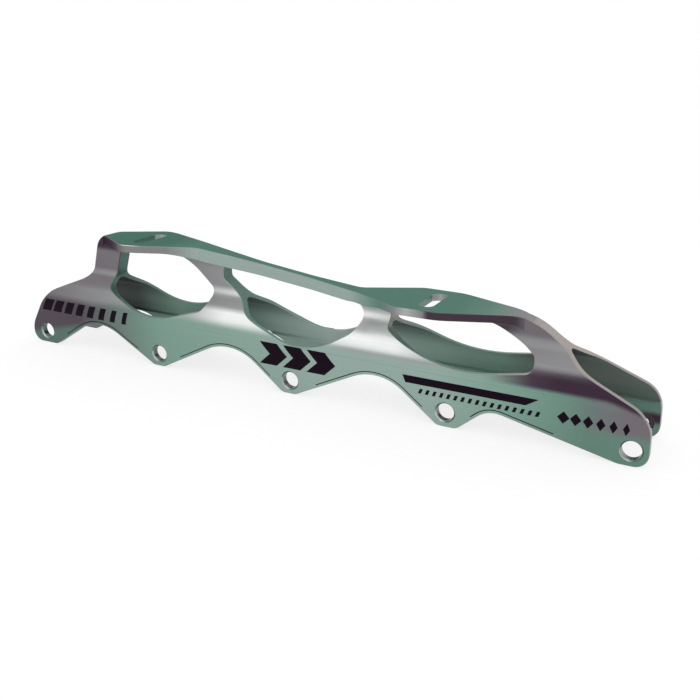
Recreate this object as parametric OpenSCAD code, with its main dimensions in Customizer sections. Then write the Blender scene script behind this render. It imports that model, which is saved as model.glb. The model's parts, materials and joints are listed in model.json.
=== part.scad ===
// Five-wheel inline skate frame, milled from one aluminium extrusion, with threaded axle inserts.
// Lengths in mm. X runs to the toe, Y to the left wall, Z up; Z = 0 is the bottom of the axle lobes.

/* [Axles] */
// Distance between neighbouring axles (80 mm wheels with a 2 mm gap)
axle_pitch = 82; // [80:0.5:86]
// Clear bore for the axle shank in the right wall
axle_bore_d = 8.5; // [8:0.1:9.2]
// Chamfer on both mouths of each axle bore
bore_chamfer = 0.7; // [0.3:0.1:0.9]
// Metal below the axle line
lobe_drop = 7; // [6.5:0.1:9]
// Metal behind the heel axle
heel_overhang = 10.9; // [9:0.1:13]
// Metal ahead of the toe axle
toe_overhang = 7.5; // [7:0.1:11]

/* [Rail section] */
// Width over the two lower walls
rail_width = 36; // [34:0.5:40]
// Thickness of the lower flanges that carry the axles
flange_wall = 4; // [3:0.1:5]
// Height of the flange ledge above the axle line
flange_height = 10.3; // [8:0.1:14]
// Thickness of the upper walls and the roof
shell_wall = 2.4; // [2:0.1:3.2]
// Height above the axle line where the walls begin to lean in
lean_height = 16; // [13:0.5:18]
// Half width of the rail at the shoulder
shoulder_half = 14.7; // [13.5:0.1:16]
// Height of the shoulder above the axle line
shoulder_height = 28.6; // [27:0.1:30]
// Height above the axle line where the roof meets the neck
roof_height = 35; // [34:0.1:37]
// Thickness of the neck between roof and deck
neck_width = 8.2; // [7.5:0.1:10]

/* [Deck] */
// Height of the heel pad above the axle line
heel_pad_height = 57.9; // [55:0.1:61]
// Height of the toe pad above the axle line
toe_pad_height = 46.5; // [44.5:0.1:49]
// Thickness of the heel pad
heel_plate = 3.8; // [3:0.1:5]
// Thickness of the toe pad
toe_plate = 3.5; // [3:0.1:4.5]
// Width of the heel pad
heel_pad_width = 39.2; // [35:0.2:44]
// Width of the toe pad
toe_pad_width = 36.4; // [33:0.2:42]
// Height of the bar between the pads, at its heel end
bar_height = 6.6; // [5:0.1:7.5]
// Height of the bar at its toe end
bar_toe_height = 5.8; // [5:0.1:7]
// Width of the bar at its narrowest
bar_width = 4.4; // [4:0.1:7]
// Fillet under the pads, at the neck
pad_fillet = 4; // [2:0.1:4.6]

/* [Boot mounting slots] */
// Distance between the two boot mounting slots
mount_spacing = 165; // [160:0.5:170]
// Slot width, clear of an M6 bolt
slot_width = 7.4; // [6.4:0.1:8.5]
// Slot length across the pad
slot_length = 23.5; // [16:0.5:26]

/* [Axle inserts] */
// Outer diameter of the insert body
insert_d = 9; // [8.4:0.1:9.6]
// Diameter of the insert flange
insert_flange_d = 11.6; // [10.8:0.1:12.4]
// Thickness of the insert flange
insert_flange_t = 1.2; // [0.8:0.1:1.6]
// Core diameter of the M6 thread
thread_core_d = 5; // [4.6:0.1:5.4]
// Gap around each insert in its seat
insert_gap = 0.02; // [0.01:0.01:0.06]

/* [Hidden] */
$fn = 64;
// Largest gap between a sampled arc and its facets
arc_sag = 0.04;
// Overlap of joined solids and overrun of cuts
lap = 0.5;
over = 4;
half_w = rail_width / 2;
neck_half = neck_width / 2;
core_half = neck_half - 0.5;
// Shift that centres the frame's length on X = 0
x_shift = (heel_overhang - toe_overhang) / 2;
x_heel = -2 * axle_pitch - heel_overhang;
x_toe = 2 * axle_pitch + toe_overhang;
heel_slot_x = -15.5 - mount_spacing / 2;
toe_slot_x = -15.5 + mount_spacing / 2;
heel_under = heel_pad_height - heel_plate;
toe_under = toe_pad_height - toe_plate;
// Ends of the sloping bar, at its top face
bar_heel = [heel_slot_x + 34.5, heel_pad_height];
bar_toe = [toe_slot_x - 39.5, toe_pad_height];
// Slope of the bar's underside
under_fall = (bar_toe.y - bar_toe_height - bar_heel.y + bar_height) / (bar_toe.x - bar_heel.x);

// Station k axles from the middle axle, moved d along X
function st(k, d) = k * axle_pitch + d;
function xy(p) = [p[0], p[1]];
function unit(v) = v / norm(v);
// Height of the bar's underside at x
function bar_under(x) = bar_heel.y - bar_height + under_fall * (x - bar_heel.x);

// Points of the arc of radius r that rounds corner b between a and c
function corner(a, b, c, r) = let (
    u = unit(a - b), v = unit(c - b), half = acos(max(-1, min(1, u * v))) / 2,
    rr = min(r, 0.72 * min(norm(a - b), norm(c - b)) * tan(half)),
    t = rr / tan(half), ctr = b + unit(u + v) * rr / sin(half),
    p = b + u * t - ctr, q = b + v * t - ctr,
    a0 = atan2(p.y, p.x), turn = (atan2(q.y, q.x) - a0 + 540) % 360 - 180,
    n = max(2, ceil(abs(turn) / (2 * acos(1 - arc_sag / max(rr, 0.1))))))
    [for (k = [0:n]) ctr + rr * [cos(a0 + turn * k / n), sin(a0 + turn * k / n)]];

// Closed outline through corners [x, y, radius]
function rounded(c) = [for (i = [0:len(c) - 1]) let (
    a = xy(c[(i + len(c) - 1) % len(c)]), b = xy(c[i]), d = xy(c[(i + 1) % len(c)]))
    each (c[i][2] > 0 ? corner(a, b, d, c[i][2]) : [b])];

// Corner b moved inward by t, between a and c
function inset(a, b, c, t) = let (
    u = unit(a - b), v = unit(c - b), half = acos(u * v) / 2) b + unit(u + v) * t / sin(half);

function mirrored(h) = concat(h, [for (i = [len(h) - 1:-1:0]) [-h[i][0], h[i][1], h[i][2]]]);

// Outer corners of the rail's section, one side, as [y, z]
wall_foot = [half_w, -lobe_drop - over];
lean_start = [half_w, lean_height];
shoulder = [shoulder_half, shoulder_height];
roof_foot = [neck_half, roof_height];
in_lean = inset(wall_foot, lean_start, shoulder, shell_wall);
in_shoulder = inset(lean_start, shoulder, roof_foot, shell_wall);
roof_rise = (roof_foot.y - shoulder.y) / (shoulder.x - roof_foot.x);
in_apex = in_shoulder.y + in_shoulder.x * roof_rise;

section_outer = rounded(mirrored([
    [wall_foot.x, wall_foot.y, 0], [lean_start.x, lean_start.y, 14],
    [shoulder.x, shoulder.y, 8], [roof_foot.x, roof_foot.y, 6.5],
    [neck_half, heel_pad_height + over, 0]]));

section_tunnel = rounded(concat(
    [[half_w - flange_wall, wall_foot.y - over, 0],
     [half_w - flange_wall, flange_height, 0],
     [in_lean.x, flange_height + 0.6, 0], [in_lean.x, in_lean.y, 11],
     [in_shoulder.x, in_shoulder.y, 5.6], [0, in_apex, 6]],
    [[-in_shoulder.x, in_shoulder.y, 5.6],
     [-in_lean.x, in_lean.y, 11], [-in_lean.x, flange_height + 0.6, 0],
     [-(half_w - flange_wall), flange_height, 0],
     [-(half_w - flange_wall), wall_foot.y - over, 0]]));

// Side outline of the whole frame as [x, z, radius], from the heel lobe to the toe and back over the deck
side_outline = rounded([
    [x_heel, -lobe_drop, 6],
    [st(-2, 6.5), -lobe_drop, 5], [st(-1.5, -1.1), 14.2, 26],
    [st(-1, -4.1), -lobe_drop, 5], [st(-1, 2.8), -lobe_drop, 5], [st(-0.5, 6.8), 16.2, 27],
    [st(0, -4.6), -lobe_drop, 5], [st(0, 2.8), -lobe_drop, 5], [st(0.5, 7.6), 15.5, 24],
    [st(1, -3.8), -lobe_drop, 5], [st(1, 5.6), -lobe_drop, 5], [st(1, 20.1), 5.4, 12],
    [st(2, -5), -lobe_drop, 8], [x_toe, -lobe_drop, 6],
    [x_toe - 1.1, 15.4, 14], [st(2, -25.6), 29.3, 30], [toe_slot_x + 47.4, toe_pad_height, 32],
    [bar_toe.x, bar_toe.y, 40], [bar_heel.x, bar_heel.y, 30],
    [heel_slot_x - 33.2, heel_pad_height, 10],
    [st(-1.5, -14.7), 33.4, 10], [st(-2, 1), 23, 22], [x_heel, 2.8, 13]]);

// Underside of the deck, from heel to toe, at height dz above the true underside
function under_line(dz) = [
    [x_heel - over, heel_under + dz, 0], [heel_slot_x + 21, heel_under + dz, 40],
    [heel_slot_x + 41, bar_under(heel_slot_x + 41) + dz, 40],
    [st(0.5, -17), bar_under(st(0.5, -17)) + dz, 4], [st(0.5, -5), bar_under(st(0.5, -17)) + dz, 4],
    [st(0.5, 5), toe_under + dz, 4], [x_toe + over, toe_under + dz, 0]];

// Everything above the deck's underside
deck_zone = rounded(concat(under_line(0),
    [[x_toe + over, heel_pad_height + over, 0], [x_heel - over, heel_pad_height + over, 0]]));

// Everything below the deck's underside, and the full height ahead of and behind the pads
rail_zone = rounded(concat(
    [[x_heel - over, -lobe_drop - over, 0], [x_heel - over, heel_pad_height + over, 0],
     [heel_slot_x - 28, heel_pad_height + over, 0], [heel_slot_x - 28, heel_under + lap, 0]],
    [for (p = under_line(lap)) if (p[0] > heel_slot_x - 28 && p[0] < toe_slot_x + 42) p],
    [[toe_slot_x + 42, toe_under + lap, 0], [toe_slot_x + 42, heel_pad_height + over, 0],
     [x_toe + over, heel_pad_height + over, 0], [x_toe + over, -lobe_drop - over, 0]]));

// The three side windows; their tops end at the deck's underside
window_heel = rounded([
    [st(-1.5, 8.4), heel_under + lap / 2, 3], [st(-1.5, 1.6), 31.6, 5], [st(-1, -8), 16.8, 42],
    [st(-0.5, -12.2), 27.4, 6], [st(-0.5, -12.7), 36.9, 6], [st(-1, 9.2), heel_under + lap / 2, 40]]);
window_mid = rounded([
    [st(-0.5, -6.7), bar_under(st(-0.5, -6.7)) - 0.4, 2.4], [st(-0.5, -6.7), 43.1, 2.5],
    [st(-0.5, 14.8), 27.2, 42], [st(0, 7.4), 14, 34],
    [st(0.5, -7.2), 29.9, 8.5], [st(0.5, -7.2), bar_under(st(0.5, -17)) + 2 * lap, 9],
    [st(0.5, -17), bar_under(st(0.5, -17)) + 2 * lap, 0],
    [st(-0.5, -1.5), bar_under(st(-0.5, -1.5)) + 2 * lap, 0]]);
window_toe = rounded([
    [st(0.5, 7), toe_under + lap / 2, 3], [st(0.5, 6.7), 32.3, 3], [st(1, 1.2), 18.4, 70],
    [st(1.5, 5.3), 26.4, 4], [st(1, 12.4), toe_under + lap / 2, 30]]);

// Plan outline of the deck, one side, as [x, half width, radius]
hp = heel_pad_width / 2;
tp = toe_pad_width / 2;
plan_half = [
    [heel_slot_x - 40, core_half, 0], [heel_slot_x - 31, core_half, 4],
    [heel_slot_x - 3.5, hp * 1.036, 8], [heel_slot_x + 4, hp * 0.95, 15],
    [heel_slot_x + 35, 6.2, 20], [st(-0.5, 14), bar_width / 2, 60], [st(0, 3), bar_width / 2, 60],
    [toe_slot_x - 38.5, 4.2, 10], [toe_slot_x - 11.5, tp * 1.02, 9], [toe_slot_x + 9, tp, 20],
    [toe_slot_x + 41, 5.6, 10], [toe_slot_x + 46, core_half, 6], [x_toe, core_half, 0]];
plan_outline = rounded(concat(plan_half,
    [for (i = [len(plan_half) - 1:-1:0]) [plan_half[i][0], -plan_half[i][1], plan_half[i][2]]]));

// Section of the fillet under a pad, one side, as [y, z] with the underside at height z
function fillet_half(z) = concat(
    [[core_half - lap, z + 0.6 * lap], [neck_half + pad_fillet, z + 0.6 * lap]],
    [for (a = [90:9:180]) [neck_half + pad_fillet, z - pad_fillet] + pad_fillet * [cos(a), sin(a)]],
    [[core_half - lap, z - pad_fillet]]);

slot_outline = rounded([for (s = [[-1, -1], [1, -1], [1, 1], [-1, 1]])
    [s.x * slot_width / 2, s.y * slot_length / 2, slot_width * 0.495]]);

// Frame coordinates: origin at the middle axle's centre line
module placed() { translate([x_shift, 0, lobe_drop]) children(); }

// A side profile [x, z] swept across the frame
module across(w) { translate([0, w / 2, 0]) rotate([90, 0, 0]) linear_extrude(w) children(); }

// A section [y, z] swept along the frame from x0 to x1
module along(x0, x1) { translate([x0, 0, 0]) rotate([90, 0, 90]) linear_extrude(x1 - x0) children(); }

// The extruded rail: two flanged walls, pointed roof and neck, cut to the side outline and windows
module rail() {
    intersection() {
        along(x_heel - over, x_toe + over) difference() {
            polygon(section_outer);
            polygon(section_tunnel);
        }
        across(rail_width + over) difference() {
            intersection() { polygon(side_outline); polygon(rail_zone); }
            polygon(window_heel);
            polygon(window_mid);
            polygon(window_toe);
        }
    }
}

// The deck: heel pad, sloping bar and toe pad, milled to the plan outline
module deck() {
    intersection() {
        across(max(heel_pad_width, toe_pad_width) + over)
            intersection() { polygon(side_outline); polygon(deck_zone); }
        linear_extrude(heel_pad_height + over) polygon(plan_outline);
    }
}

// Fillets between the neck and the underside of each pad
module pad_fillets() {
    intersection() {
        union() {
            for (s = [-1, 1]) {
                along(x_heel, heel_slot_x + 33) polygon([for (p = fillet_half(heel_under)) [s * p.x, p.y]]);
                along(st(0.5, 6), x_toe) polygon([for (p = fillet_half(toe_under)) [s * p.x, p.y]]);
            }
        }
        across(rail_width + over) difference() {
            polygon(side_outline);
            polygon(window_heel);
            polygon(window_toe);
        }
        linear_extrude(heel_pad_height + over) polygon(plan_outline);
    }
}

// Bore for the axle shank through the right wall, chamfered at both mouths
module axle_bore() {
    r = axle_bore_d / 2;
    rotate([-90, 0, 0]) rotate_extrude() polygon([
        [0, -half_w - 1], [r + bore_chamfer + 1, -half_w - 1], [r, -half_w + bore_chamfer],
        [r, -half_w + flange_wall - bore_chamfer / 2], [r + bore_chamfer / 2 + 1, -half_w + flange_wall + 1],
        [0, -half_w + flange_wall + 1]]);
}

// Stepped seat for an insert through the left wall
module insert_seat() {
    rotate([-90, 0, 0]) rotate_extrude() polygon([
        [0, half_w - flange_wall - 1], [insert_d / 2 + insert_gap, half_w - flange_wall - 1],
        [insert_d / 2 + insert_gap, half_w - insert_flange_t - insert_gap],
        [insert_flange_d / 2 + insert_gap, half_w - insert_flange_t - insert_gap],
        [insert_flange_d / 2 + insert_gap, half_w + 1], [0, half_w + 1]]);
}

module frame_body() {
    color([0.50, 0.62, 0.57]) placed() difference() {
        union() { rail(); deck(); pad_fillets(); }
        for (i = [-2:2]) translate([st(i, 0), 0, 0]) { axle_bore(); insert_seat(); }
        translate([heel_slot_x, 0, heel_under - 1]) linear_extrude(heel_plate + 2) polygon(slot_outline);
        translate([toe_slot_x, 0, toe_under - 1]) linear_extrude(toe_plate + 2) polygon(slot_outline);
    }
}

// Flanged steel insert with a threaded core, flush with both faces of the left wall
module axle_insert(i) {
    color([0.34, 0.32, 0.34]) placed() translate([st(i, 0), 0, 0]) rotate([-90, 0, 0]) rotate_extrude() polygon([
        [thread_core_d / 2, half_w - flange_wall + 0.4], [thread_core_d / 2 + 0.4, half_w - flange_wall],
        [insert_d / 2 - 0.3, half_w - flange_wall], [insert_d / 2, half_w - flange_wall + 0.3],
        [insert_d / 2, half_w - insert_flange_t], [insert_flange_d / 2, half_w - insert_flange_t],
        [insert_flange_d / 2, half_w - 0.2], [insert_flange_d / 2 - 0.2, half_w],
        [thread_core_d / 2 + 0.5, half_w], [thread_core_d / 2, half_w - 0.5]]);
}

module axle_insert_1() { axle_insert(-2); }
module axle_insert_2() { axle_insert(-1); }
module axle_insert_3() { axle_insert(0); }
module axle_insert_4() { axle_insert(1); }
module axle_insert_5() { axle_insert(2); }

frame_body();
axle_insert_1();
axle_insert_2();
axle_insert_3();
axle_insert_4();
axle_insert_5();
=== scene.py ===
# %% [markdown]
# A bare inline skate frame is one length of aluminium extrusion, milled to shape: two walls that
# carry five axles, a pointed roof over the wheels, and a deck with two pads for the boot. The
# imported model already has that shape at its real size. This lesson dresses it: broken edges, an
# anodised finish with painted highlights, reflections and shade, threads in the axle inserts and
# printed stripes, all in the imported model's own place.

# %% Load the imported frame
import json
import math

import bmesh
import bpy
from mathutils import Matrix, Vector


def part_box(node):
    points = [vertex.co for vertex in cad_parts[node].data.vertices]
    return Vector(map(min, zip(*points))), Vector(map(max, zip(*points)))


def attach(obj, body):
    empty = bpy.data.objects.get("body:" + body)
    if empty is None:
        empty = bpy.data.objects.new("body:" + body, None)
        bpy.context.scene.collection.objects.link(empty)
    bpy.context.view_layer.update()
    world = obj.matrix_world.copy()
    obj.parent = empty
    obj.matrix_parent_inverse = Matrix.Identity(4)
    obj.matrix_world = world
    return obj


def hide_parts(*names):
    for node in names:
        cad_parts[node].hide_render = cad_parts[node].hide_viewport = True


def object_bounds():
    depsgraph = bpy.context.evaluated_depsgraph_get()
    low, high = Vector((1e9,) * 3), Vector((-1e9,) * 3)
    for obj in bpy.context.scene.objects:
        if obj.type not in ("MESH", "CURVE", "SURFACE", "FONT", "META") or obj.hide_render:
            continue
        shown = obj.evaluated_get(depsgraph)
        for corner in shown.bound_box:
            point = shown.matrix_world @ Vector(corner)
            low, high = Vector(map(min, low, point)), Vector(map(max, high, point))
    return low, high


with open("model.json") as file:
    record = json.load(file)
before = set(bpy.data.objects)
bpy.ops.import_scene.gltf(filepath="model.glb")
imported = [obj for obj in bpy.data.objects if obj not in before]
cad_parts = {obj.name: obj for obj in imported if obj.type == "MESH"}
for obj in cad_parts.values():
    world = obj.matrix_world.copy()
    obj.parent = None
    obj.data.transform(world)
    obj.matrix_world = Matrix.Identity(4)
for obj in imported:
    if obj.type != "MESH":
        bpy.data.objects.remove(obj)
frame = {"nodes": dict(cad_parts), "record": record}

MM = 0.001
AXLE_NUMBERS = range(1, 6)
cad_low, cad_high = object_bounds()
cad_box = [list(cad_low), list(cad_high)]
mounts = {mount["name"]: Vector(mount["pos_m"]) for mount in frame["record"]["mounts"]}
axles = [mounts[f"axle_bore_{number}"] for number in AXLE_NUMBERS]
middle_axle = axles[len(axles) // 2]
middle_x, axle_z = middle_axle.x, middle_axle.z
wall_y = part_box("axle_insert_1")[1].y
print("axles in mm:", [round(axle.x / MM, 1) for axle in axles], "wall at", round(wall_y / MM, 2))

# %% [markdown]
# The camera stands in front of the toe, a little above the deck. Its place, turn and lens were
# fitted to the outline of the frame, so the next cell only has to type them in. A square picture
# uses the whole width of the sensor.

# %% Camera
CAMERA_PLACE = Vector((200.10, -343.86, 160.21)) * MM
CAMERA_TURN = (70.228, -0.564, 27.068)
LENS = 42.354
SENSOR_WIDTH = 36
NEAREST_VIEW = 0.01

camera_data = bpy.data.cameras.new("studio_camera")
camera_data.lens = LENS
camera_data.sensor_width = SENSOR_WIDTH
camera_data.clip_start = NEAREST_VIEW
camera = bpy.data.objects.new("studio_camera", camera_data)
camera.location = CAMERA_PLACE
camera.rotation_euler = [math.radians(angle) for angle in CAMERA_TURN]
bpy.context.collection.objects.link(camera)
scene = bpy.context.scene
scene.camera = camera
scene.view_settings.view_transform = "Standard"
print("camera is", round(CAMERA_PLACE.length, 3), "m from the origin")

# %% [markdown]
# Every finish, and every row of like pieces, is a small tree of nodes. Such trees can be drawn by
# hand in the node editor. Code is chosen here because it repeats them exactly, and two helpers
# keep it readable: one adds a node and fills its inputs with values or links, and one does a sum.

# %% Node helpers


def add_node(tree, kind, inputs=(), **settings):
    """New node of one kind, with its settings and its inputs given as values or sockets."""
    node = tree.nodes.new(kind)
    for name, value in settings.items():
        setattr(node, name, value)
    for name, value in dict(inputs).items():
        if isinstance(value, bpy.types.NodeSocket):
            tree.links.new(value, node.inputs[name])
        else:
            node.inputs[name].default_value = value
    return node


def maths(tree, operation, *values):
    """Socket with the result of one sum on values or sockets."""
    inputs = dict(enumerate(values))
    return add_node(tree, "ShaderNodeMath", inputs, operation=operation).outputs[0]


print("helpers:", add_node.__name__, "and", maths.__name__)

# %% [markdown]
# A product shot like this has a seamless white sweep. A large floor carries the contact shadow.
# It glows by just what its paint takes away, for the camera and for mirror rays only, so that it
# meets the white surround without a line. Part of what those rays see is plain white, which keeps
# the shadow pale.

# %% Floor
FLOOR_PAINT = 0.9
FLOOR_SIZE = 12
SURROUND_LEVEL = 0.9
SHADOW_FILL = 0.7


def seen_directly(tree):
    """Socket that is 1 for camera, mirror and see-through rays."""
    path = tree.nodes.new("ShaderNodeLightPath")
    names = ("Is Camera Ray", "Is Glossy Ray", "Is Transmission Ray")
    total, *others = [path.outputs[name] for name in names]
    for other in others:
        total = maths(tree, "MAXIMUM", total, other)
    return total


floor_mesh = bpy.data.meshes.new("floor")
half_floor = FLOOR_SIZE / 2
corners = ((-1, -1), (1, -1), (1, 1), (-1, 1))
floor_points = [(x * half_floor, y * half_floor, 0) for x, y in corners]
floor_mesh.from_pydata(floor_points, [], [(0, 1, 2, 3)])
floor = bpy.data.objects.new("floor", floor_mesh)
bpy.context.collection.objects.link(floor)

sweep = bpy.data.materials.new("white_sweep")
sweep.use_nodes = True
tree = sweep.node_tree
tree.nodes.clear()
seen = seen_directly(tree)
floor_colour = (FLOOR_PAINT, FLOOR_PAINT, FLOOR_PAINT, 1)
matt = add_node(tree, "ShaderNodeBsdfDiffuse", {"Color": floor_colour})
glow_level = maths(tree, "MULTIPLY", seen, 1 - FLOOR_PAINT * SURROUND_LEVEL)
glow = add_node(tree, "ShaderNodeEmission", {"Strength": glow_level})
both = add_node(tree, "ShaderNodeAddShader", {0: matt.outputs[0], 1: glow.outputs[0]})
fill = maths(tree, "MULTIPLY", seen, SHADOW_FILL)
white = tree.nodes.new("ShaderNodeEmission")
filled = add_node(tree, "ShaderNodeMixShader", {0: fill, 1: both.outputs[0], 2: white.outputs[0]})
add_node(tree, "ShaderNodeOutputMaterial", {"Surface": filled.outputs[0]})
floor_mesh.materials.append(sweep)
print("floor is", FLOOR_SIZE, "m square, with a shadow filled by", SHADOW_FILL)

# %% [markdown]
# The light comes from all round, as in a tent of white cloth. A picture of a studio could give
# it, but the surround is one even white, so that each colour renders about as it is written. Seen
# directly it is full white, and as light it is a little lower.

# %% Surround
surround = bpy.data.worlds.new("white_surround")
scene.world = surround
surround.use_nodes = True
tree = surround.node_tree
tree.nodes.clear()
levels = {"Value": seen_directly(tree), "To Min": SURROUND_LEVEL, "To Max": 1.0}
level = add_node(tree, "ShaderNodeMapRange", levels).outputs[0]
background = add_node(tree, "ShaderNodeBackground", {"Color": (1, 1, 1, 1), "Strength": level})
add_node(tree, "ShaderNodeOutputWorld", {"Surface": background.outputs[0]})
print("surround lights at", SURROUND_LEVEL)

# %% [markdown]
# One broad soft box hangs above and in front of the frame. It lifts what faces up and forward
# just enough to round the shoulders, and stays low so that it doesn't wash the colours out.

# %% Soft box
SOFT_BOX_PLACE = Vector((0.10, -0.75, 0.95))
SOFT_BOX_TARGET = Vector((0, 0, 0.03))
SOFT_BOX_SIZE = 0.9
SOFT_BOX_WATTS = 1.2

box_data = bpy.data.lights.new("soft_box", "AREA")
box_data.size = SOFT_BOX_SIZE
box_data.energy = SOFT_BOX_WATTS
soft_box = bpy.data.objects.new("soft_box", box_data)
soft_box.location = SOFT_BOX_PLACE
soft_box.rotation_euler = (SOFT_BOX_TARGET - SOFT_BOX_PLACE).to_track_quat("-Z", "Y").to_euler()
bpy.context.collection.objects.link(soft_box)
print("soft box of", SOFT_BOX_WATTS, "W at", tuple(SOFT_BOX_PLACE))

# %% [markdown]
# The real frame is satin aluminium with a thin green anodising, so flat walls are sage green. The
# bright band along the rounded shoulder is a painted highlight, and the plum at both ends is a
# painted dark reflection. A few paint chips cover all of that. They are written in hexadecimal, as
# a paint maker would, and a helper turns one into the linear colour that a shader needs.

# %% Paint chips
CHIPS = {
    "plum_dark": "2c0a2a", "plum": "473a45", "mauve": "6f686e", "rosy_grey": "9b938e",
    "pewter": "88888a", "ash": "9a9d9b", "silver": "b2b4b3", "bright": "f2f5f3",
    "night_sage": "3a4442", "slate": "5c6862", "moss": "346657", "deep_sage": "4f6e64",
    "pine": "4f7669", "leaf_sage": "608376", "sage": "789b8d", "pale_sage": "92aaa1",
    "dew": "9eaea8", "mist": "b4c4be", "ink": "150616",
}


def chip(name):
    """Linear colour of a named paint chip, by the sRGB curve."""
    channels = [int(CHIPS[name][start:start + 2], 16) / 255 for start in (0, 2, 4)]
    linear = [c / 12.92 if c <= 0.04045 else ((c + 0.055) / 1.055) ** 2.4 for c in channels]
    return (*linear, 1)


print(len(CHIPS), "paint chips; sage is", [round(value, 3) for value in chip("sage")])

# %% [markdown]
# Each finish blends paint chips along the frame's length and height, counted in millimetres from
# the middle axle, because that is how a maker would call out a fade. Most of these fades paint
# highlights, reflections and shade into the colour. An image could hold the same fades, but nodes
# stay sharp at any size. One class keeps a finish together: its material, its shader, its
# coordinates, and the few steps that build a colour and a grain.

# %% Metal finish
LENGTH_SPAN = 180
GRAIN_LOW, GRAIN_HIGH = 0.25, 0.75
GRAIN_DETAIL = 3.0
GRAIN_DEPTH = 0.05 * MM
PLAIN_SPECULAR = 0.5
MIX_FACTOR, MIX_FIRST, MIX_SECOND, MIX_RESULT = 0, 6, 7, 2


def mix_colours(tree, factor, first, second, blend="MIX"):
    """Colour socket between two colours."""
    inputs = {MIX_FACTOR: factor, MIX_FIRST: first, MIX_SECOND: second}
    node = add_node(tree, "ShaderNodeMix", inputs, data_type="RGBA", blend_type=blend)
    return node.outputs[MIX_RESULT]


class Finish:
    """A finish that fades along the frame: its material, shader and coordinates in millimetres."""

    def __init__(self, name, metallic, specular=PLAIN_SPECULAR):
        self.material = bpy.data.materials.new(name)
        self.material.use_nodes = True
        self.tree = self.material.node_tree
        self.shader = self.tree.nodes["Principled BSDF"]
        self.shader.inputs["Metallic"].default_value = metallic
        self.shader.inputs["Specular IOR Level"].default_value = specular
        self.place = self.tree.nodes.new("ShaderNodeTexCoord").outputs["Object"]
        parts = add_node(self.tree, "ShaderNodeSeparateXYZ", {0: self.place})
        self.along = self.millimetres(parts.outputs["X"], middle_x)
        self.aside = self.millimetres(parts.outputs["Y"], 0)
        self.height = self.millimetres(parts.outputs["Z"], axle_z)

    def millimetres(self, metres, zero):
        """Socket with a coordinate in millimetres from a zero in metres."""
        return maths(self.tree, "MULTIPLY_ADD", metres, 1 / MM, -zero / MM)

    def fade(self, *stops):
        """Colour socket that passes through (millimetres along the frame, chip) stops."""
        inputs = {"Value": self.along, "From Min": -LENGTH_SPAN, "From Max": LENGTH_SPAN}
        share = add_node(self.tree, "ShaderNodeMapRange", inputs).outputs[0]
        ramp = add_node(self.tree, "ShaderNodeValToRGB", {"Fac": share})
        elements = ramp.color_ramp.elements
        while len(elements) < len(stops):
            elements.new(0.5)
        for element, (along, name) in zip(elements, stops):
            element.position = (along + LENGTH_SPAN) / (2 * LENGTH_SPAN)
            element.color = chip(name)
        return ramp.outputs["Color"]

    def step(self, value, start, end):
        """Share that goes softly from 0 where a value is at its start to 1 at its end."""
        inputs = {"Value": value, "From Min": start, "From Max": end}
        kind = "ShaderNodeMapRange"
        return add_node(self.tree, kind, inputs, interpolation_type="SMOOTHSTEP").outputs[0]

    def ahead(self, start, end):
        """Share that goes from 0 to 1 between two places along the frame."""
        return self.step(self.along, start, end)

    def above(self, start, end):
        """Share that goes from 0 to 1 between two heights."""
        return self.step(self.height, start, end)

    def shifted(self, amount, share):
        """Height with an amount times a share added to it."""
        return maths(self.tree, "MULTIPLY_ADD", share, amount, self.height)

    def layer(self, under, over, *shares):
        """Colour socket with one colour laid over another where every share is 1."""
        share, *others = shares
        for other in others:
            share = maths(self.tree, "MULTIPLY", share, other)
        return mix_colours(self.tree, share, under, over)

    def grain(self, stretch):
        """Noise socket whose cells are stretched by (x, y, z) sizes in millimetres."""
        scale = [1 / (size * MM) for size in stretch]
        mapping = add_node(self.tree, "ShaderNodeMapping", {"Vector": self.place, "Scale": scale})
        inputs = {"Vector": mapping.outputs[0], "Scale": 1.0, "Detail": GRAIN_DETAIL}
        return add_node(self.tree, "ShaderNodeTexNoise", inputs).outputs[0]

    def finish(self, colour, grain, tone=0.10, rough=(0.30, 0.46), bump=0.12):
        """Connects a colour to the shader, with a grain that varies tone, roughness and surface."""
        tones = {
            "Value": grain, "From Min": GRAIN_LOW, "From Max": GRAIN_HIGH, "To Min": 1 - tone,
            "To Max": 1 + tone}
        shade = add_node(self.tree, "ShaderNodeMapRange", tones).outputs[0]
        gloss = {"Value": grain, "To Min": rough[0], "To Max": rough[1]}
        ridge = {"Height": grain, "Strength": bump, "Distance": GRAIN_DEPTH}
        inputs = {
            "Base Color": mix_colours(self.tree, 1.0, colour, shade, "MULTIPLY"),
            "Roughness": add_node(self.tree, "ShaderNodeMapRange", gloss).outputs[0],
            "Normal": add_node(self.tree, "ShaderNodeBump", ridge).outputs[0]}
        for name, socket in inputs.items():
            self.tree.links.new(socket, self.shader.inputs[name])
        return self.material


print("a fade spans", 2 * LENGTH_SPAN, "mm")

# %% [markdown]
# The outer skin changes going up the section: the green wall, the bright shoulder, the greyer roof,
# the bright foot of the neck and the neck itself. On the real frame the light does much of this, so
# here the bright shoulder and foot are painted highlights, and the plum and mauve towards the ends
# are painted dark reflections. Each zone has its own fade along the length, which is easy to read
# and to change.

# %% Fades of the outer skin
skin = Finish("anodised_skin_with_painted_light", metallic=0.35)
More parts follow.
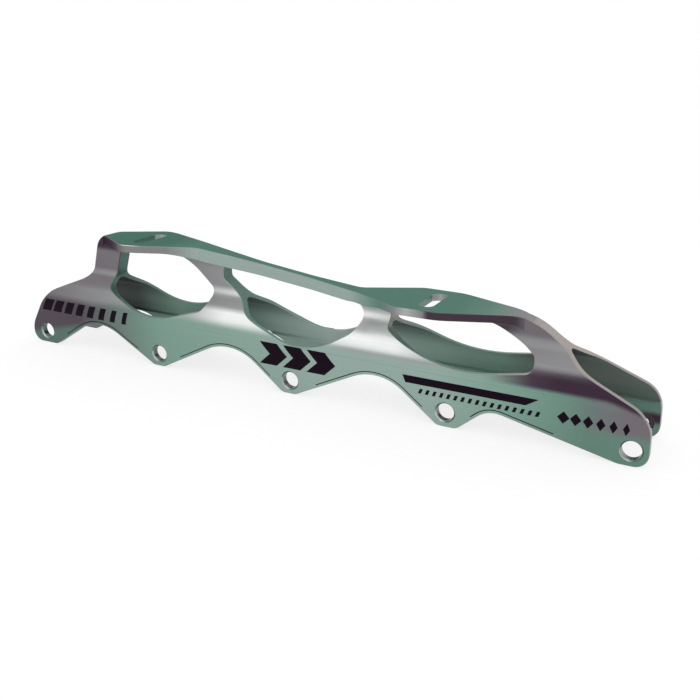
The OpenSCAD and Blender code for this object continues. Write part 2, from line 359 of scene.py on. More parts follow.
# Painted light: the bright and silver stops are painted highlights on the shoulder, roof and foot,
# and the plum and mauve stops towards the ends are painted dark reflections.
wall = skin.fade(
    (-172, "plum"), (-138, "plum"), (-80, "sage"), (12, "pale_sage"), (75, "pale_sage"),
    (115, "sage"), (145, "leaf_sage"))
shoulder = skin.fade(
    (-165, "mauve"), (-125, "pewter"), (-62, "silver"), (-40, "bright"), (55, "bright"),
    (90, "pewter"), (118, "mauve"), (148, "plum"))
roof = skin.fade(
    (-135, "mauve"), (-50, "ash"), (-36, "ash"), (38, "silver"), (50, "bright"), (95, "pewter"))
foot = skin.fade(
    (-135, "pewter"), (-60, "silver"), (-20, "bright"), (45, "bright"), (110, "pewter"))
neck = skin.fade(
    (-135, "mauve"), (-60, "pewter"), (35, "silver"), (62, "silver"), (90, "plum"), (104, "plum"),
    (111, "mauve"))
# Painted dark reflection on the toe's lower shoulder.
toe_shade = skin.fade((108, "plum"), (130, "plum_dark"))
print(len(skin.tree.nodes), "nodes in", skin.material.name)

# %% [markdown]
# Soft steps in height join the zones, and a few patches lie over them: green low on the heel, a
# painted mauve reflection low at the toe and a painted dark reflection above it, a painted grey
# reflection band under the shoulder, painted shade on the heel cap, and a painted shadow under the
# heel pad. A step follows a tilted or bent line when its height is shifted first. Over it all goes
# the extrusion's own grain, fine lines that run the whole length of the frame.

# %% Layers of the outer skin
BRUSHED = (60, 0.6, 0.6)
HEEL_GREEN_ALONG, HEEL_GREEN_SLOPE, HEEL_GREEN_BELOW = (-105, -140), -0.25, (44.2, 39.4)
TOE_REFLECTION_ALONG, TOE_REFLECTION_ABOVE = (132, 165), (3, 9)
WALL_TO_SHOULDER = (20, 25.4)
HEEL_LIFT_ALONG, HEEL_LIFT = (-108, -132), 1.6
ASH_BAND_START, ASH_BAND_END = (5, 35), (105, 70)
ASH_BAND_ABOVE, ASH_BAND_BELOW = (19.4, 21.8), (23.4, 21)
TOE_SHADE_ALONG, TOE_SHADE_ABOVE, TOE_SHADE_BELOW = (96, 122), (18, 20.5), (29, 24)
TOE_DROP_ALONG, TOE_DROP = (150, 172), 4
SHOULDER_TO_ROOF = (28, 31)
TOE_RAISE_ALONG, TOE_RAISE = (96, 118), 1.6
ROOF_TO_FOOT = (34, 36)
FOOT_TO_NECK = (36.2, 39.4)
HEEL_CAP_ALONG, HEEL_CAP_ABOVE = (-106, -112), (48.2, 51.2)
PAD_SHADE_SLOPE, PAD_SHADE_ABOVE = 0.06, (46.8, 47.8)
PAD_SHADE_START, PAD_SHADE_END = (-84, -76), (-44, -50)

lifted = skin.shifted(HEEL_LIFT, skin.ahead(*HEEL_LIFT_ALONG))
raised = skin.shifted(TOE_RAISE, skin.ahead(*TOE_RAISE_ALONG))
lowered = skin.shifted(TOE_DROP, skin.ahead(*TOE_DROP_ALONG))
sloped = skin.shifted(PAD_SHADE_SLOPE, skin.along)
tilted = skin.shifted(HEEL_GREEN_SLOPE, skin.along)
colour = skin.layer(
    wall, chip("deep_sage"), skin.ahead(*HEEL_GREEN_ALONG), skin.step(tilted, *HEEL_GREEN_BELOW))
# Painted mauve reflection low on the wall at the toe.
colour = skin.layer(
    colour, chip("mauve"), skin.ahead(*TOE_REFLECTION_ALONG), skin.above(*TOE_REFLECTION_ABOVE))
colour = skin.layer(colour, shoulder, skin.step(lifted, *WALL_TO_SHOULDER))
# Painted grey reflection band just under the shoulder's painted highlight.
colour = skin.layer(
    colour, chip("ash"), skin.ahead(*ASH_BAND_START), skin.ahead(*ASH_BAND_END),
    skin.above(*ASH_BAND_ABOVE), skin.above(*ASH_BAND_BELOW))
# Painted dark reflection across the toe's shoulder.
colour = skin.layer(
    colour, toe_shade, skin.ahead(*TOE_SHADE_ALONG), skin.step(lowered, *TOE_SHADE_ABOVE),
    skin.above(*TOE_SHADE_BELOW))
colour = skin.layer(colour, roof, skin.step(raised, *SHOULDER_TO_ROOF))
colour = skin.layer(colour, foot, skin.above(*ROOF_TO_FOOT))
colour = skin.layer(colour, neck, skin.above(*FOOT_TO_NECK))
# Painted shade on the top of the neck at the heel, under the pad.
colour = skin.layer(
    colour, chip("plum_dark"), skin.ahead(*HEEL_CAP_ALONG), skin.above(*HEEL_CAP_ABOVE))
# Painted shadow on the neck just under the heel pad.
colour = skin.layer(
    colour, chip("night_sage"), skin.step(sloped, *PAD_SHADE_ABOVE),
    skin.ahead(*PAD_SHADE_START), skin.ahead(*PAD_SHADE_END))
skin_finish = skin.finish(colour, skin.grain(BRUSHED), tone=0.05)
print("made", skin_finish.name, "with", len(skin.tree.nodes), "nodes")

# %% [markdown]
# Inside, the tunnel over the wheels is as it left the die, a duller green, with painted shade that
# is darkest at the heel and under the roof. The inside of each lower flange has a fade of its own,
# painted paler where light comes in through the scallops, and a painted dark reflection crosses it
# at the toe. It could share the outer skin's finish, but the shade inside is painted into this one.

# %% Tunnel
DIE_LINES = (60, 1.0, 1.0)
ROOF_SHADE = 0.8
TUNNEL_ROOF_ABOVE, TUNNEL_ROOF_ALONG = (18, 29), (142, 122)
FLANGE_BELOW = (10.8, 9.8)
TOE_BAND_ALONG, TOE_BAND_ABOVE, TOE_BAND_BELOW = (158, 167), (-0.8, 2), (6.8, 4)

tunnel = Finish("tunnel_skin", metallic=0.3)
# Painted shade: darkest at the heel, lighter towards the middle.
colour = tunnel.fade(
    (-170, "night_sage"), (-122, "night_sage"), (-92, "sage"), (-45, "leaf_sage"), (5, "mist"),
    (50, "pale_sage"), (96, "sage"), (118, "slate"))
# Painted shade under the roof.
roof_painted_shade = mix_colours(tunnel.tree, ROOF_SHADE, colour, chip("night_sage"), "MULTIPLY")
colour = tunnel.layer(
    colour, roof_painted_shade, tunnel.above(*TUNNEL_ROOF_ABOVE), tunnel.ahead(*TUNNEL_ROOF_ALONG))
# Painted light: the flanges are paler where light comes in through the scallops.
flange = tunnel.fade(
    (-170, "pewter"), (-120, "leaf_sage"), (0, "pale_sage"), (60, "sage"), (140, "leaf_sage"))
colour = tunnel.layer(colour, flange, tunnel.above(*FLANGE_BELOW))
# Painted dark reflection across the flange at the toe.
colour = tunnel.layer(
    colour, chip("plum_dark"), tunnel.ahead(*TOE_BAND_ALONG), tunnel.above(*TOE_BAND_ABOVE),
    tunnel.above(*TOE_BAND_BELOW))
tunnel_finish = tunnel.finish(colour, tunnel.grain(DIE_LINES), tone=0.06, rough=(0.38, 0.55))
print("made", tunnel_finish.name)

# %% [markdown]
# The deck top is faced with a wide cutter. Its deeper green than the walls is painted shade, and
# its grey at the toe pad is a painted reflection. It has a grain without direction and almost no
# shine. Its side faces are brushed like the skin, with a painted dark reflection at the heel cap
# and along the toe pad and a painted highlight just before it. Its underside is plainer, with
# painted shade at both ends. Three fades along the length are enough, since each of these faces is
# thin or flat.

# %% Deck
FACED = (9, 9, 9)
DECK_SPECULAR = 0.01

deck_top = Finish("deck_top", metallic=0.0, specular=DECK_SPECULAR)
# Painted shade: a deeper green than the walls, with a painted grey reflection at the toe pad.
colour = deck_top.fade(
    (-125, "moss"), (-85, "moss"), (-60, "pine"), (80, "pine"), (96, "leaf_sage"),
    (110, "pewter"), (121, "rosy_grey"))
deck_top_finish = deck_top.finish(colour, deck_top.grain(FACED), tone=0.05)

deck_edge = Finish("deck_edge", metallic=0.0, specular=DECK_SPECULAR)
# Painted light: plum at the heel cap and along the toe pad is a painted dark reflection, and the
# silver stop is a painted highlight.
colour = deck_edge.fade(
    (-116, "plum_dark"), (-108, "plum"), (-103, "mauve"), (-98, "pewter"), (-78, "pewter"),
    (-64, "dew"), (25, "dew"), (46, "leaf_sage"), (55, "pewter"), (61, "silver"), (69, "pewter"),
    (71, "plum"), (108, "plum"), (112, "mauve"))
deck_edge_finish = deck_edge.finish(colour, deck_edge.grain(BRUSHED), tone=0.05)

deck_under = Finish("deck_underside", metallic=0.3)
# Painted shade: plum at both ends of the underside.
colour = deck_under.fade((-125, "plum"), (-60, "deep_sage"), (30, "leaf_sage"), (110, "plum"))
deck_under_finish = deck_under.finish(colour, deck_under.grain(FACED), tone=0.05)
print("made", deck_top_finish.name, deck_edge_finish.name, deck_under_finish.name)

# %% [markdown]
# The cut faces of the windows, scallops and ends show the side of a milling cutter: short ripples
# across the thickness. Their fade paints the shade and reflections that they catch: darker green
# about the heel window, rosy grey towards the toe. The boot slots are cut the same way, and the far
# end of each has a painted silver highlight. One ripple serves both, stretched across the frame.

# %% Milled cuts and slots
CUTTER_RIPPLE = (1.6, 12, 1.6)
SLOT_FAR_END = (7.5, 9)

cut = Finish("milled_cut", metallic=0.35, specular=0.3)
# Painted shade and reflection: darker green about the heel window, rosy grey towards the toe.
colour = cut.fade(
    (-174, "pewter"), (-122, "deep_sage"), (-60, "deep_sage"), (0, "leaf_sage"), (14, "sage"),
    (46, "rosy_grey"), (56, "leaf_sage"), (104, "leaf_sage"), (113, "pewter"),
    (122, "rosy_grey"), (140, "rosy_grey"), (170, "pewter"))
cut_finish = cut.finish(colour, cut.grain(CUTTER_RIPPLE), rough=(0.26, 0.40))

slot = Finish("slot_wall", metallic=0.3)
colour = slot.fade((-98, "deep_sage"), (67, "leaf_sage"))
# Painted highlight on the far end of each slot.
colour = slot.layer(colour, chip("silver"), slot.step(slot.aside, *SLOT_FAR_END))
slot_finish = slot.finish(colour, slot.grain(CUTTER_RIPPLE))
print("made", cut_finish.name, slot_finish.name)

# %% [markdown]
# The axle bores are turned to size, and their near mouths are chamfered. A mouth is green anodised,
# with a painted highlight on the side that faces the light. One rule serves all five: the place
# along the frame is wrapped by the axle pitch, so each bore counts from its own axle.

# %% Turned bores
TURNED = (2.5, 1, 2.5)
MOUTH_LIGHT = (-0.8, -0.6)
MOUTH_LIT = (1.6, 5)
MOUTH_ASIDE = (-16.9, -17.7)

bore = Finish("turned_bore", metallic=0.8)
axle_pitch = (axles[1].x - axles[0].x) / MM
from_axle = maths(bore.tree, "WRAP", bore.along, axle_pitch / 2, -axle_pitch / 2)
# Painted highlight on the side of each mouth that faces the light.
sideways = maths(bore.tree, "MULTIPLY", from_axle, MOUTH_LIGHT[0])
towards_light = maths(bore.tree, "MULTIPLY_ADD", bore.height, MOUTH_LIGHT[1], sideways)
lit = bore.step(towards_light, *MOUTH_LIT)
mouth = bore.step(bore.aside, *MOUTH_ASIDE)
colour = bore.fade((-170, "slate"), (170, "pewter"))
colour = bore.layer(colour, chip("deep_sage"), mouth)
colour = bore.layer(colour, chip("silver"), mouth, lit)
bore_finish = bore.finish(colour, bore.grain(TURNED), tone=0.4, rough=(0.2, 0.36))
print("made", bore_finish.name, "for a pitch of", round(axle_pitch, 1), "mm")

# %% [markdown]
# A broken edge is a narrow facet that often shines where the faces beside it don't. Low on the
# frame its colour follows the walls. On the deck it has a painted highlight at the near corner of
# the heel pad and a painted dark reflection along the toe pad, so low edges and deck edges have a
# fade each, chosen by height.

# %% Broken edges
EDGE_GRAIN = (6, 6, 6)
DECK_RIM_ABOVE = (37, 39)

rim = Finish("broken_edge", metallic=0.5)
low_rim = rim.fade(
    (-174, "mauve"), (-110, "leaf_sage"), (0, "pale_sage"), (70, "pale_sage"), (115, "rosy_grey"))
# Painted highlight at the heel pad's near corner and painted dark reflection along the toe pad.
deck_rim = rim.fade(
    (-116, "plum"), (-103, "mauve"), (-100, "bright"), (-95, "bright"), (-90, "pewter"),
    (-45, "pale_sage"), (-30, "leaf_sage"), (56, "leaf_sage"), (62, "silver"), (70, "plum"),
    (108, "plum"), (116, "rosy_grey"))
colour = rim.layer(low_rim, deck_rim, rim.above(*DECK_RIM_ABOVE))
rim_finish = rim.finish(colour, rim.grain(EDGE_GRAIN), tone=0.08)
print("made", rim_finish.name)

# %% [markdown]
# Each face of the body gets the finish of the surface that it belongs to. The faces could be
# picked by hand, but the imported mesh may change, so a rule tells them apart by place and
# direction. Heights are in millimetres above the axles, and a direction is a part of the face's
# normal.

# %% Tell the surfaces apart
SEAT_RADIUS = 5.95
SLOT_REACH, SLOT_HALF = 12.2, 4.2
DECK_LEVEL = 39
UNDERSIDE_DROP = 4
NECK_HALF, NECK_SLACK = 4.1, 0.1
TUNNEL_TOP = 33.5
SCALLOP_TOP = 20
UPRIGHT = 0.05
CROSSWAYS = 0.03
ALONG_NECK = 0.01
FACING_UP, FACING_DOWN, LEANING_DOWN = 0.93, -0.7, -0.3


def surface_of(face):
    """Name of the surface that a face belongs to."""
    normal = face.normal
    centre = face.calc_center_median()
    height = (centre.z - axle_z) / MM
    aside = abs(centre.y) / MM
    on_deck = height > DECK_LEVEL
    upright = abs(normal.z) < UPRIGHT
    axle = min(axles, key=lambda place: abs(place.x - centre.x))
    reach = max(math.hypot(vert.co.x - axle.x, vert.co.z - axle.z) for vert in face.verts) / MM
    if reach < SEAT_RADIUS:
        return "bore"
    slots = [mounts[name] for name in ("heel_slot", "toe_slot")]
    by_slot = any(abs(centre.x - place.x) < SLOT_HALF * MM for place in slots)
    if by_slot and aside < SLOT_REACH and on_deck and upright:
        return "slot"
    if abs(normal.y) < CROSSWAYS:
        if normal.z > FACING_UP and on_deck:
            return "deck_top"
        if normal.z < FACING_DOWN and height > DECK_LEVEL - UNDERSIDE_DROP:
            return "deck_under"
        milled = abs(normal.x) > CROSSWAYS or on_deck or normal.z > 0 or height < SCALLOP_TOP
        return "cut" if milled else "tunnel"
    on_neck = abs(aside - NECK_HALF) < NECK_SLACK and abs(normal.x) < ALONG_NECK
    if on_deck and upright and not on_neck:
        return "deck_edge"
    facing_in = normal.y * centre.y < 0
    under_roof = normal.z < LEANING_DOWN and height < TUNNEL_TOP
    return "tunnel" if facing_in or under_roof else "skin"


print("bores reach", SEAT_RADIUS, "mm and the deck starts at", DECK_LEVEL, "mm")

# %% [markdown]
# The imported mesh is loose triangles, so a copy of it is welded and its flat faces are joined
# first. Then every face is sorted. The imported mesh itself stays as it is.

# %% Sort the body's faces
WELD = 0.004 * MM
FLAT_ANGLE = math.radians(0.4)
finishes = {
    "skin": skin_finish, "tunnel": tunnel_finish, "deck_top": deck_top_finish,
    "deck_edge": deck_edge_finish, "deck_under": deck_under_finish, "cut": cut_finish,
    "bore": bore_finish, "slot": slot_finish, "rim": rim_finish}
surfaces = list(finishes)

body_mesh = frame["nodes"]["frame_body"].data.copy()
shape = bmesh.new()
shape.from_mesh(body_mesh)
bmesh.ops.remove_doubles(shape, verts=shape.verts, dist=WELD)
bmesh.ops.dissolve_degenerate(shape, edges=shape.edges, dist=WELD)
bmesh.ops.dissolve_limit(
    shape, angle_limit=FLAT_ANGLE, use_dissolve_boundaries=False, verts=shape.verts,
    edges=shape.edges)
shape.normal_update()
counts = dict.fromkeys(surfaces, 0)
for face in shape.faces:
    name = surface_of(face)
    counts[name] += 1
    face.material_index = surfaces.index(name)
    face.smooth = True
print("faces by surface:", counts)

# %% [markdown]
# A machinist breaks the outer edges with a small chamfer. A Bevel modifier limited by angle would
# break them all, so the edges are chosen in code. It takes those that turn by more than a set
# angle, and leaves those of the tunnel, the bores, the slot rims and the deck's lower corners.
# Gentle steps between the facets of a round stretch stay too, and shading smooths them. Last,
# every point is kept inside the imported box.

# %% Break the edges
CHAMFER = 0.22 * MM
SHARP_ANGLE = math.radians(34)
SHADE_ANGLE = math.radians(32)
LEFT_SHARP = (
    {"tunnel"}, {"bore"}, {"bore", "skin"}, {"deck_edge"}, {"deck_edge", "deck_under"},
    {"deck_edge", "skin"}, {"deck_top", "slot"})

bmesh.ops.triangulate(shape, faces=shape.faces)
sharp = []
for edge in shape.edges:
    between = {surfaces[face.material_index] for face in edge.link_faces}
    if between not in LEFT_SHARP and edge.is_convex and edge.calc_face_angle() > SHARP_ANGLE:
        sharp.append(edge)
bmesh.ops.bevel(
    shape, geom=sharp, offset=CHAMFER, offset_type="OFFSET", segments=1, profile=0.5,
    affect="EDGES", clamp_overlap=False, material=surfaces.index("rim"), miter_outer="SHARP",
    miter_inner="SHARP")
bmesh.ops.remove_doubles(shape, verts=shape.verts, dist=WELD)
for face in shape.faces:
    face.smooth = True
for edge in shape.edges:
    edge.smooth = len(edge.link_faces) == 2 and edge.calc_face_angle() < SHADE_ANGLE
for vert in shape.verts:
    vert.co = [min(max(value, low), high) for value, low, high in zip(vert.co, *cad_box)]
open_edges = sum(1 for edge in shape.edges if len(edge.link_faces) != 2)
body_mesh.materials.clear()
for finish in finishes.values():
    body_mesh.materials.append(finish)
shape.to_mesh(body_mesh)
shape.free()
print("broke", len(sharp), "edges; faces", len(body_mesh.polygons), "open edges", open_edges)

# %% [markdown]
# Weighted normals let the large flat faces stay flat up to their chamfers. The modifier is
# applied by taking the evaluated mesh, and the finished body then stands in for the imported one.

# %% Finished body
FLAT_WEIGHT = 60

draft = bpy.data.objects.new("frame_draft", body_mesh)
bpy.context.collection.objects.link(draft)
weighted = draft.modifiers.new("flat_faces", "WEIGHTED_NORMAL")
weighted.keep_sharp = True
weighted.weight = FLAT_WEIGHT
evaluated = draft.evaluated_get(bpy.context.evaluated_depsgraph_get())
finished_mesh = bpy.data.meshes.new_from_object(evaluated)
bpy.data.objects.remove(draft)
body = bpy.data.objects.new("milled_frame", finished_mesh)
bpy.context.collection.objects.link(body)
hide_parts("frame_body")
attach(body, "root")
print("body has", len(finished_mesh.polygons), "faces")

# %% [markdown]
# Each axle screws into a flanged steel insert in the far wall. The imported inserts already have
# the right shape, so they keep it and get a turned steel with a fine, even grain. Its dark plum
# colour is painted shade, to match the dark far wall around them.

# %% Turned steel inserts
STEEL_GRAIN = (0.9, 0.9, 0.9)

steel = Finish("turned_steel_in_painted_shade", metallic=0.9)
# Painted shade: dark plum, to match the dark far wall around the inserts.
steel_finish = steel.finish(chip("plum"), steel.grain(STEEL_GRAIN), tone=0.08, rough=(0.24, 0.4))
for number in AXLE_NUMBERS:
    insert = frame["nodes"][f"axle_insert_{number}"]
    insert.data.materials.clear()
    insert.data.materials.append(steel_finish)
print("steel on", len(AXLE_NUMBERS), "inserts")

# %% [markdown]
# Threads, rows of prints and pinstripes all repeat or follow a path, which is work for Geometry
# Nodes. Three helpers serve them: one starts a tree with named sizes, one ends it with realised
# instances and a material, and one grows a plain mesh from a seed mesh, so that no modifier is
# left behind.

# %% Geometry tree helpers


def new_tree(name, **sizes):
    """Geometry tree with named sizes; returns the tree and its end nodes."""
    tree = bpy.data.node_groups.new(name, "GeometryNodeTree")
    for way in ("INPUT", "OUTPUT"):
        tree.interface.new_socket("Geometry", in_out=way, socket_type="NodeSocketGeometry")
    for size, kind in sizes.items():
        tree.interface.new_socket(size, in_out="INPUT", socket_type=f"NodeSocket{kind}")
    return tree, tree.nodes.new("NodeGroupInput"), tree.nodes.new("NodeGroupOutput")


def end_tree(tree, geometry, outlet, finish):
    """Closes a tree with realised instances and a material."""
    whole = add_node(tree, "GeometryNodeRealizeInstances", {"Geometry": geometry}).outputs[0]
    dressed = add_node(tree, "GeometryNodeSetMaterial", {"Geometry": whole, "Material": finish})
    tree.links.new(dressed.outputs[0], outlet.inputs[0])


def grow(name, seed_mesh, tree, **sizes):
    """Plain mesh object grown from a seed mesh by a geometry tree."""
    seed = bpy.data.objects.new(f"{name}_seed", seed_mesh)
    bpy.context.collection.objects.link(seed)
    modifier = seed.modifiers.new("grow", "NODES")
    modifier.node_group = tree
    sockets = [item for item in tree.interface.items_tree if item.in_out == "INPUT"]
    identifiers = {socket.name: socket.identifier for socket in sockets}
    for size, value in sizes.items():
        modifier[identifiers[size]] = value
    evaluated = seed.evaluated_get(bpy.context.evaluated_depsgraph_get())
    mesh = bpy.data.meshes.new_from_object(evaluated)
    bpy.data.objects.remove(seed)
    grown = bpy.data.objects.new(name, mesh)
    bpy.context.collection.objects.link(grown)
    return grown


print("helpers:", new_tree.__name__, end_tree.__name__, "and", grow.__name__)

# %% [markdown]
# A helix is a rule, so the thread in each insert is a spiral curve swept with a small round
# profile, laid along the axle line, and placed at five points. The points are the only mesh that
# the tree is given, one at each axle.

# %% Insert threads
THREAD_RADIUS = 2.45
THREAD_PITCH = 1.0
THREAD_LENGTH = 2.9
THREAD_RIDGE = 0.2
THREAD_START = 14.5
THREAD_STEPS = 28
THREAD_SIDES = 6

thread_tree, inlet, outlet = new_tree(
    "thread", Radius="Float", Pitch="Float", Length="Float", Ridge="Float")
sizes = inlet.outputs
turns = maths(thread_tree, "DIVIDE", sizes["Length"], sizes["Pitch"])
spiral = add_node(thread_tree, "GeometryNodeCurveSpiral", {
    "Resolution": THREAD_STEPS, "Rotations": turns, "Start Radius": sizes["Radius"],
    "End Radius": sizes["Radius"], "Height": sizes["Length"]})
profile = add_node(thread_tree, "GeometryNodeCurvePrimitiveCircle", {
    "Resolution": THREAD_SIDES, "Radius": sizes["Ridge"]})
ridge = add_node(thread_tree, "GeometryNodeCurveToMesh", {
    "Curve": spiral.outputs[0], "Profile Curve": profile.outputs[0], "Fill Caps": True})
laid = add_node(thread_tree, "GeometryNodeTransform", {
    "Geometry": ridge.outputs[0], "Rotation": (-math.pi / 2, 0, 0)})
placed = add_node(thread_tree, "GeometryNodeInstanceOnPoints", {
    "Points": sizes["Geometry"], "Instance": laid.outputs[0]})
end_tree(thread_tree, placed.outputs[0], outlet, steel_finish)

thread_points = bpy.data.meshes.new("thread_points")
thread_points.from_pydata([(axle.x, THREAD_START * MM, axle.z) for axle in axles], [], [])
threads = grow(
    "insert_threads", thread_points, thread_tree, Radius=THREAD_RADIUS * MM,
    Pitch=THREAD_PITCH * MM, Length=THREAD_LENGTH * MM, Ridge=THREAD_RIDGE * MM)
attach(threads, "root")
print("threads:", len(threads.data.polygons), "faces")

# %% [markdown]
# The outside walls carry dark printed stripes. A print follows the wall, which is flat at the
# axles, bends in a gentle arc and then leans in. Projecting the print onto the mesh would work
# too, but the section is simple, so its half width at any height is worked out directly.

# %% Section of the wall
LEAN_START = 16
SHOULDER_AT = (14.7, 28.6)
LEAN_RADIUS = 14

lean_angle = math.atan2(wall_y / MM - SHOULDER_AT[0], SHOULDER_AT[1] - LEAN_START)
bend_reach = LEAN_RADIUS * math.tan(lean_angle / 2)


def wall_at(height):
    """Half width of the wall, in millimetres, at a height above the axles."""
    flat = wall_y / MM
    above = height - (LEAN_START - bend_reach)
    if above <= 0:
        return flat
    bend_height = LEAN_RADIUS * math.sin(lean_angle)
    if above < bend_height:
        return flat - LEAN_RADIUS + math.sqrt(LEAN_RADIUS ** 2 - above ** 2)
    drop = LEAN_RADIUS * (1 - math.cos(lean_angle))
    return flat - drop - (above - bend_height) * math.tan(lean_angle)


print("half width by height:", {height: round(wall_at(height), 2) for height in (14, 18, 24)})

# %% [markdown]
# Each printed shape is built as a ladder of rows: a height, a left end and a right end. The rows
# are laid on the wall's section and given a hair of thickness, half of it inside the wall, so a
# print is a closed piece that never parts from the metal. Both walls get the same print.

# %% Printed shapes
PRINT_PROUD = 0.03
PRINT_WELD = 0.001 * MM
ROW_STEP = 0.8
SIDES = (-1, 1)


def ladder_rows(ladder):
    """Rows of a ladder, with rows added so that none is farther than a step from the next."""
    rows = []
    for (low, left, right), (high, next_left, next_right) in zip(ladder, ladder[1:]):
        steps = max(1, math.ceil((high - low) / ROW_STEP))
        for step in range(steps):
            share = step / steps
            rows.append((
                low + share * (high - low), left + share * (next_left - left),
                right + share * (next_right - right)))
    return [*rows, ladder[-1]]


def printed_shape(shape, ladder, side):
    """Adds a print to a mesh from (height, left, right) rows, on the wall at side -1 or 1."""
    rows = ladder_rows(ladder)
    layers = []
    for proud in (-PRINT_PROUD, PRINT_PROUD):
        layers.append([[
            shape.verts.new(Vector((along, side * (wall_at(height) + proud), height)) * MM)
            for along in (left, right)] for height, left, right in rows])
    inner, outer = layers
    for low, high in zip(range(len(rows)), range(1, len(rows))):
        shape.faces.new((outer[low][0], outer[low][1], outer[high][1], outer[high][0]))
        shape.faces.new((inner[low][1], inner[low][0], inner[high][0], inner[high][1]))
        shape.faces.new((inner[low][0], outer[low][0], outer[high][0], inner[high][0]))
        shape.faces.new((outer[low][1], inner[low][1], inner[high][1], outer[high][1]))
    shape.faces.new((inner[0][0], inner[0][1], outer[0][1], outer[0][0]))
    shape.faces.new((outer[-1][0], outer[-1][1], inner[-1][1], inner[-1][0]))


def print_mesh(name, ladders):
    """Mesh of prints on both walls, in place."""
    shape = bmesh.new()
    for side in SIDES:
        for ladder in ladders:
            printed_shape(shape, ladder, side)
    bmesh.ops.translate(shape, verts=shape.verts, vec=(0, 0, axle_z))
    bmesh.ops.remove_doubles(shape, verts=shape.verts, dist=PRINT_WELD)
    bmesh.ops.recalc_face_normals(shape, faces=shape.faces)
    mesh = bpy.data.meshes.new(name)
    shape.to_mesh(mesh)
    shape.free()
    return mesh


print("a print stands", PRINT_PROUD, "mm proud")

# %% [markdown]
# The ink is a dark plum black with little shine. Screen printing leaves it slightly uneven, so a
# stretched noise lets a lighter plum through in places, and a finer one roughens it.

# %% Ink
INK_STREAK = (3, 1, 1)
INK_THIN = (0.6, 0.9)
INK_GRAIN = (0.8, 0.8, 0.8)

ink = Finish("printed_ink", metallic=0.0, specular=0.06)
thin = ink.step(ink.grain(INK_STREAK), *INK_THIN)
colour = ink.layer(chip("ink"), chip("plum_dark"), thin)
ink_finish = ink.finish(colour, ink.grain(INK_GRAIN), tone=0.05, rough=(0.4, 0.6), bump=0.05)
print("made", ink_finish.name)

# %% [markdown]
# Rows of like shapes are a job for Geometry Nodes again: one shape is copied to points along the
# frame, each copy a little narrower than the last. The tree takes the number of copies, the first
# place, the pitch and the taper as named inputs.

# %% Row of prints
row_tree, inlet, outlet = new_tree(
    "print_row", Count="Int", Start="Float", Pitch="Float", Taper="Float")
sizes = inlet.outputs
start = add_node(row_tree, "ShaderNodeCombineXYZ", {"X": sizes["Start"]})
step = add_node(row_tree, "ShaderNodeCombineXYZ", {"X": sizes["Pitch"]})
line = add_node(row_tree, "GeometryNodeMeshLine", {
    "Count": sizes["Count"], "Start Location": start.outputs[0], "Offset": step.outputs[0]})
index = row_tree.nodes.new("GeometryNodeInputIndex")
share = maths(row_tree, "DIVIDE", index.outputs[0], sizes["Count"])
loss = maths(row_tree, "MULTIPLY", share, sizes["Taper"])
width = maths(row_tree, "SUBTRACT", 1.0, loss)
scale = add_node(row_tree, "ShaderNodeCombineXYZ", {"X": width, "Y": 1.0, "Z": 1.0})
copies = add_node(row_tree, "GeometryNodeInstanceOnPoints", {
    "Points": line.outputs[0], "Instance": sizes["Geometry"], "Scale": scale.outputs[0]})
end_tree(row_tree, copies.outputs[0], outlet, ink_finish)
print(len(row_tree.nodes), "nodes in", row_tree.name)

# %% [markdown]
# The heel has slanted bars, the space ahead of the middle has a row of ticks, and the toe has a
# row of lozenges. Each row names its shape, its number of copies, its first place, its pitch and
# its taper.

# %% Bars, ticks and lozenges
BAR = [(12.8, 0, 6.6), (19.4, 3.0, 9.6)]
TICK = [(6.9, 0, 1.5), (9.3, 0.9, 2.4)]
LOZENGE = [(6.2, 0, 0.1), (9.0, -2.6, 2.7), (11.8, 0, 0.1)]
ROWS = {
    "heel_bars": (BAR, 8, -166, 8.4, 0.62),
    "front_ticks": (TICK, 17, 68.5, 3.4, 0.0),
    "toe_lozenges": (LOZENGE, 6, 135, 5.2, 0.55),
}

for name, (ladder, count, first, pitch, taper) in ROWS.items():
    row = grow(
        name, print_mesh(f"{name}_seed", [ladder]), row_tree, Count=count,
        Start=first * MM + middle_x, Pitch=pitch * MM, Taper=taper)
    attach(row, "root")
    print(name, "has", len(row.data.polygons), "faces")

# %% [markdown]
# Three chevrons over the middle axle and one long band ahead of it are single shapes, so they are
# made directly from their ladders.

# %% Chevrons and band
CHEVRON_HEIGHTS = (6.5, 12.2, 17.9)
CHEVRON_WIDTH = 10
CHEVRON_POINT = 6
CHEVRON_STARTS = (-17.5, -4.0, 9.5)
BAND = [(11.2, 62, 118.5), (14.8, 60.5, 124)]

chevrons = []
for first in CHEVRON_STARTS:
    lefts = (first, first + CHEVRON_POINT, first)
    chevrons.append([
        (height, left, left + CHEVRON_WIDTH) for height, left in zip(CHEVRON_HEIGHTS, lefts)])
for name, ladders in {"middle_chevrons": chevrons, "front_band": [BAND]}.items():
    mesh = print_mesh(name, ladders)
    mesh.transform(Matrix.Translation((middle_x, 0, 0)))
    mesh.materials.append(ink_finish)
    piece = bpy.data.objects.new(name, mesh)
    bpy.context.collection.objects.link(piece)
    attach(piece, "root")
    print(name, "has", len(mesh.polygons), "faces")

# %% [markdown]
# A thin pinstripe runs inside each scallop of the lower edge. Its path is the scallop's own
# corner moved inward: two straight flanks and an arc. A scallop is given by the points before, at
# and after its peak, and the radius that rounds the peak.

# %% Pinstripe paths
STRIPE_INSET = 1.5
STRIPE_FOOT = 0.5
ARC_STEPS = 24
SCALLOPS = [
    ((-157.5, -7), (-124.1, 14.2), (-86.1, -7), 26), ((-79.2, -7), (-34.2, 16.2), (-4.6, -7), 27),
    ((2.8, -7), (48.6, 15.5), (78.2, -7), 24), ((87.6, -7), (102.1, 5.4), (159, -7), 12)]


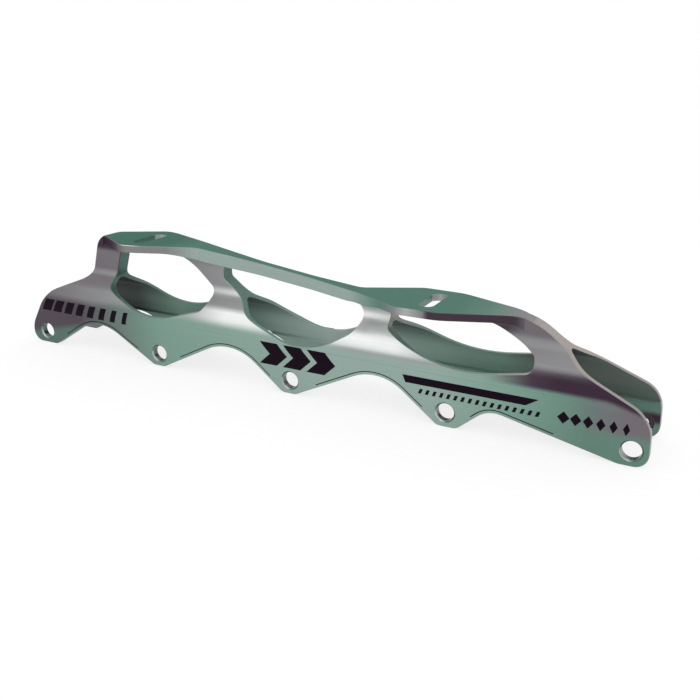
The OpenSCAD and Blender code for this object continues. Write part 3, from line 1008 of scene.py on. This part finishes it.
def stripe_path(before, peak, after, radius):
    """Points of a scallop's edge moved into the wall, as (along, height)."""
    before, peak, after = Vector(before), Vector(peak), Vector(after)
    rise = (peak - before).normalized()
    fall = (after - peak).normalized()
    bisector = (fall - rise).normalized()
    half = rise.angle(-fall) / 2
    centre = peak + bisector * radius / math.sin(half)
    reach = radius + STRIPE_INSET
    out_rise = Vector((-rise.y, rise.x))
    out_fall = Vector((-fall.y, fall.x))
    turn = out_rise.angle(out_fall)
    arc = []
    for step in range(ARC_STEPS + 1):
        angle = turn * step / ARC_STEPS
        arc.append(centre + reach * (out_rise * math.cos(angle) + rise * math.sin(angle)))
    foot = (STRIPE_FOOT - arc[0].y) / rise.y
    head = (STRIPE_FOOT - arc[-1].y) / fall.y
    return [arc[0] + rise * foot, *arc, arc[-1] + fall * head]


stripe_points = []
stripe_links = []
for scallop in SCALLOPS:
    for side in SIDES:
        first = len(stripe_points)
        for point in stripe_path(*scallop):
            place = (point.x * MM + middle_x, side * wall_y, point.y * MM + axle_z)
            stripe_points.append(place)
        last = len(stripe_points) - 1
        stripe_links += [(number, number + 1) for number in range(first, last)]
stripe_mesh = bpy.data.meshes.new("stripe_paths")
stripe_mesh.from_pydata(stripe_points, stripe_links, [])
print(len(stripe_points), "points on", len(SCALLOPS) * len(SIDES), "paths")

# %% [markdown]
# Geometry Nodes turn the paths into curves and sweep a small rectangle along them. The curve's
# normal is set upright, so that the rectangle lies flat on the wall all the way round.

# %% Pinstripes
STRIPE_WIDTH = 0.45

stripe_tree, inlet, outlet = new_tree("pinstripe", Width="Float", Thickness="Float")
sizes = inlet.outputs
path = add_node(stripe_tree, "GeometryNodeMeshToCurve", {"Mesh": sizes["Geometry"]})
upright = add_node(
    stripe_tree, "GeometryNodeSetCurveNormal", {"Curve": path.outputs[0]}, mode="Z_UP")
strip = add_node(stripe_tree, "GeometryNodeCurvePrimitiveQuadrilateral", {
    "Width": sizes["Thickness"], "Height": sizes["Width"]})
swept = add_node(stripe_tree, "GeometryNodeCurveToMesh", {
    "Curve": upright.outputs[0], "Profile Curve": strip.outputs[0], "Fill Caps": True})
end_tree(stripe_tree, swept.outputs[0], outlet, ink_finish)

stripes = grow(
    "pinstripes", stripe_mesh, stripe_tree, Width=STRIPE_WIDTH * MM, Thickness=2 * PRINT_PROUD * MM)
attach(stripes, "root")
print("pinstripes have", len(stripes.data.polygons), "faces")
